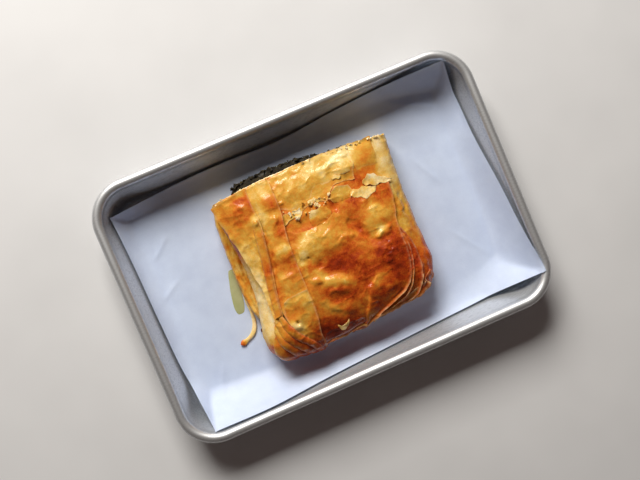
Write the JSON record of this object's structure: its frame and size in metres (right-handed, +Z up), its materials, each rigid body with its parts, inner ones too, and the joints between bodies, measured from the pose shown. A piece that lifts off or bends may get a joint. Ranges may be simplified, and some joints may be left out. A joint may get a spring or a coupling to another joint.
{
  "type": "spanakopita pie in a sheet pan",
  "caption": "Squarish cut of golden phyllo pie with spinach filling, lying on white paper in a small rolled-rim aluminium sheet pan.",
  "frame": {"origin": "middle of the pan's underside, on the surface that it stands on", "axes": "+X along the pan's long side, +Y towards the pie's open cut face, +Z up"},
  "size_m": [0.2412, 0.165, 0.0337],
  "materials": {
    "pan": "satin, lightly scuffed",
    "paper": "matte white paper",
    "pastry": "baked phyllo, golden to brown with a buttery gloss",
    "filling": "moist cooked spinach and cheese",
    "pale_pastry": "pale baked phyllo",
    "oil": "clear yellow-green oil"
  },
  "bodies": {
    "root": {"pan": "pan", "paper_liner": "paper", "pastry": "pastry", "filling": "filling", "pastry_strip": "pale_pastry", "oil_drop": "oil"}
  },
  "joints": []
}
